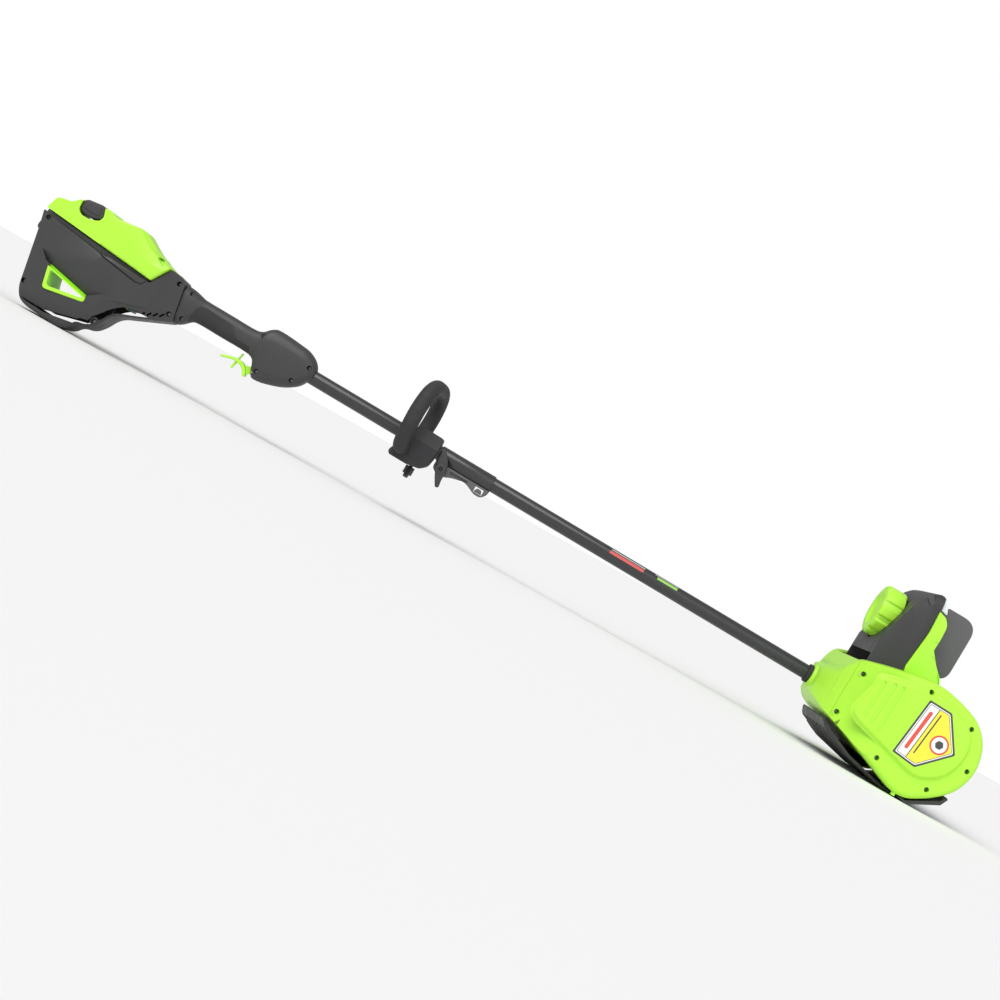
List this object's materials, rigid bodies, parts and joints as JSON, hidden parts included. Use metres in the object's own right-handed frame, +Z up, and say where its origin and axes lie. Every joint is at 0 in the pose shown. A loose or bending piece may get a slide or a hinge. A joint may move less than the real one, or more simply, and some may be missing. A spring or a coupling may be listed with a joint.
{
  "type": "cordless power snow shovel",
  "caption": "Battery power snow shovel: rear battery grip, two-piece shaft with loop handle and clamp coupler, and a powered head with paddle rotor, chute hood and steerable vanes.",
  "frame": {"origin": "middle of the bounding box on the floor that the tool lies on", "axes": "+X along the shaft towards the head, +Z up, +Y across the rotor"},
  "size_m": [1.6984, 0.344, 0.3131],
  "materials": {
    "green_plastic": "satin",
    "charcoal_plastic": "fine grain",
    "grey_plastic": "satin",
    "black_rubber": "matt",
    "painted_tube": "semi-gloss",
    "bare_steel": "brushed",
    "copper_core": "satin",
    "board": "satin",
    "lamp_lens": "clear"
  },
  "bodies": {
    "power_unit": {"rear_housing_right": "charcoal_plastic", "rear_housing_left": "charcoal_plastic", "hand_hole_liner": "green_plastic", "terminal_block": "board", "controller_board": "board", "grip_right": "charcoal_plastic", "grip_left": "charcoal_plastic", "trigger_pin": "bare_steel", "trigger_switch": "board", "upper_tube": "painted_tube", "upper_power_cable": "black_rubber", "upper_plug": "black_rubber", "coupler_sleeve": "painted_tube", "coupler_bracket": "grey_plastic", "coupler_clamp_nut": "bare_steel"},
    "battery": {"battery_top_case": "green_plastic", "battery_base_case": "charcoal_plastic", "battery_cells": "grey_plastic"},
    "battery_button": {"battery_release_button": "charcoal_plastic"},
    "trigger": {"trigger": "green_plastic"},
    "lock_off": {"lock_off_lever": "green_plastic"},
    "loop_handle": {"loop_handle": "black_rubber", "handle_clamp_cap": "charcoal_plastic"},
    "handle_knob": {"handle_wing_knob": "charcoal_plastic"},
    "coupler_knob": {"coupler_wing_knob": "charcoal_plastic"},
    "coupler_button": {"coupler_release_button": "grey_plastic"},
    "head": {"lower_tube": "painted_tube", "lower_power_cable": "black_rubber", "lower_socket": "black_rubber", "neck_housing": "green_plastic", "tube_seal": "black_rubber", "side_cover_right": "green_plastic", "side_cover_left": "green_plastic", "rotor_chamber": "charcoal_plastic", "skid_plate": "charcoal_plastic", "scraper_bar": "charcoal_plastic", "top_deck": "green_plastic", "chute_hood": "charcoal_plastic", "chute_trim_right": "green_plastic", "chute_trim_left": "green_plastic", "lamp_lens": "lamp_lens", "bearing_right": "bare_steel", "bearing_left": "bare_steel", "motor_case": "bare_steel", "drive_belt": "black_rubber"},
    "direction_control": {"direction_knob": "green_plastic", "vane_centre": "grey_plastic"},
    "right_vane": {"vane_right": "grey_plastic"},
    "left_vane": {"vane_left": "grey_plastic"},
    "tie_bar": {"vane_tie_bar": "charcoal_plastic"},
    "rotor": {"rotor_shaft": "bare_steel", "rotor_hub": "charcoal_plastic", "paddle_1": "black_rubber", "paddle_2": "black_rubber", "driven_pulley": "charcoal_plastic"},
    "motor_rotor": {"motor_rotor": "copper_core", "drive_pulley": "bare_steel"}
  },
  "joints": [
    {"name": "battery_slide", "type": "slide", "parent": "power_unit", "child": "battery", "axis": [-0.9938, 0, 0.1115], "range_m": [0, 0.21]},
    {"name": "battery_button_press", "type": "slide", "parent": "battery", "child": "battery_button", "axis": [-0.3631, 0, -0.9317], "range_m": [0, 0.0028], "stiffness_N_per_m": 800, "springref_m": -0.003},
    {"name": "trigger_pull", "type": "hinge", "parent": "power_unit", "child": "trigger", "pos_m": [-0.43589, 0, 0.08932], "axis": [0, 1, 0], "range_deg": [0, 10], "stiffness_Nm_per_rad": 0.5, "springref_deg": -14.32},
    {"name": "lock_off_swing", "type": "hinge", "parent": "trigger", "child": "lock_off", "pos_m": [-0.46879, 0, 0.09326], "axis": [0, 1, 0], "range_deg": [0, 12], "stiffness_Nm_per_rad": 0.05, "springref_deg": -14.32},
    {"name": "loop_handle_slide", "type": "slide", "parent": "power_unit", "child": "loop_handle", "axis": [0.9996, 0, -0.0286], "range_m": [-0.16, 0.001]},
    {"name": "handle_knob_turn", "type": "hinge", "parent": "loop_handle", "child": "handle_knob", "pos_m": [-0.14124, 0.019, 0.07289], "axis": [0.0286, 0, 0.9996], "continuous": true},
    {"name": "coupler_knob_turn", "type": "hinge", "parent": "power_unit", "child": "coupler_knob", "pos_m": [-0.09543, 0, 0.10059], "axis": [0, 1, 0], "range_deg": [0, 50]},
    {"name": "coupler_button_press", "type": "slide", "parent": "power_unit", "child": "coupler_button", "axis": [0, 1, 0], "range_m": [0, 0.0025], "stiffness_N_per_m": 600, "springref_m": -0.002},
    {"name": "coupler_pull", "type": "slide", "parent": "power_unit", "child": "head", "axis": [0.9996, 0, -0.0286], "range_m": [0, 0.06]},
    {"name": "direction_knob_turn", "type": "hinge", "parent": "head", "child": "direction_control", "pos_m": [0.63408, 0, 0.24778], "axis": [0.9996, 0, -0.0286], "range_deg": [-25, 25]},
    {"name": "right_vane_turn", "type": "hinge", "parent": "head", "child": "right_vane", "pos_m": [0.69106, -0.05, 0.24615], "axis": [0.9996, 0, -0.0286], "range_deg": [-25, 25]},
    {"name": "left_vane_turn", "type": "hinge", "parent": "head", "child": "left_vane", "pos_m": [0.69106, 0.05, 0.24615], "axis": [0.9996, 0, -0.0286], "range_deg": [-25, 25]},
    {"name": "tie_bar_swing", "type": "hinge", "parent": "direction_control", "child": "tie_bar", "pos_m": [0.68997, 0, 0.20816], "axis": [0.9996, 0, -0.0286], "range_deg": [-25, 25]},
    {"name": "rotor_spin", "type": "hinge", "parent": "head", "child": "rotor", "pos_m": [0.77282, 0, 0.09675], "axis": [0, 1, 0], "continuous": true},
    {"name": "motor_spin", "type": "hinge", "parent": "head", "child": "motor_rotor", "pos_m": [0.66949, 0, 0.12171], "axis": [0, 1, 0], "continuous": true}
  ],
  "couplings": [
    {"joint": "right_vane_turn", "follows": "direction_knob_turn", "ratio": 1},
    {"joint": "left_vane_turn", "follows": "direction_knob_turn", "ratio": 1},
    {"joint": "tie_bar_swing", "follows": "direction_knob_turn", "ratio": -1},
    {"joint": "motor_spin", "follows": "rotor_spin", "ratio": 3.5}
  ]
}
